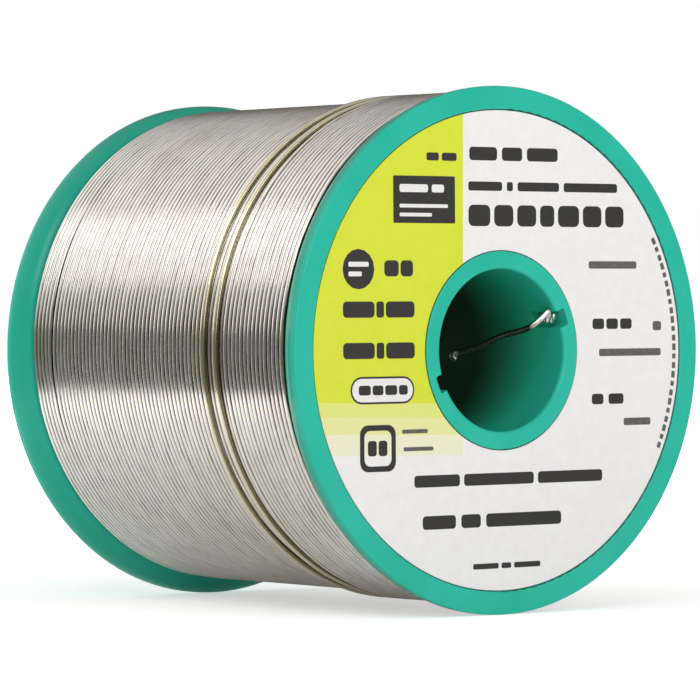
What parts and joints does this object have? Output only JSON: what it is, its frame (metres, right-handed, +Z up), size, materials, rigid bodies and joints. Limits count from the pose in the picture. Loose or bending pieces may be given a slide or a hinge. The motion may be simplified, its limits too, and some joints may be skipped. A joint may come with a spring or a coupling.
{
  "type": "solder wire spool",
  "caption": "Two-flange plastic reel wound full of thin solder wire, with a paper label on one face, a keyed spindle bore and the wire's first end bent across the bore.",
  "frame": {"origin": "centre of the reel on its axis, halfway between the two flange faces", "axes": "+Y along the reel's axis from the labelled face to the plain face, +Z up, the reel stands on both rims"},
  "size_m": [0.067, 0.0624, 0.067],
  "materials": {
    "reel_plastic": "moulded satin gloss",
    "label_paper": "coated print paper",
    "solder": "drawn bright solder wire"
  },
  "bodies": {
    "root": {"reel_front_half": "reel_plastic", "reel_rear_half": "reel_plastic", "front_label": "label_paper", "wire_first_end": "solder", "wire_layer_01": "solder", "wire_layer_02": "solder", "wire_layer_03": "solder", "wire_layer_04": "solder", "wire_layer_05": "solder", "wire_layer_06": "solder", "wire_layer_07": "solder", "wire_layer_08": "solder", "wire_layer_09": "solder", "wire_layer_10": "solder", "wire_layer_11": "solder", "wire_layer_12": "solder", "wire_layer_13": "solder", "wire_layer_14": "solder", "wire_layer_15": "solder", "wire_layer_16": "solder", "wire_layer_17": "solder", "wire_layer_18": "solder", "wire_layer_19": "solder", "wire_layer_20": "solder", "wire_layer_21": "solder", "wire_layer_22": "solder", "wire_layer_23": "solder", "wire_layer_24": "solder", "wire_layer_25": "solder", "wire_layer_26": "solder", "wire_layer_27": "solder", "wire_layer_28": "solder", "wire_last_layer": "solder", "wire_last_turn_1": "solder", "wire_last_turn_2": "solder", "wire_last_turn_3": "solder"}
  },
  "joints": []
}
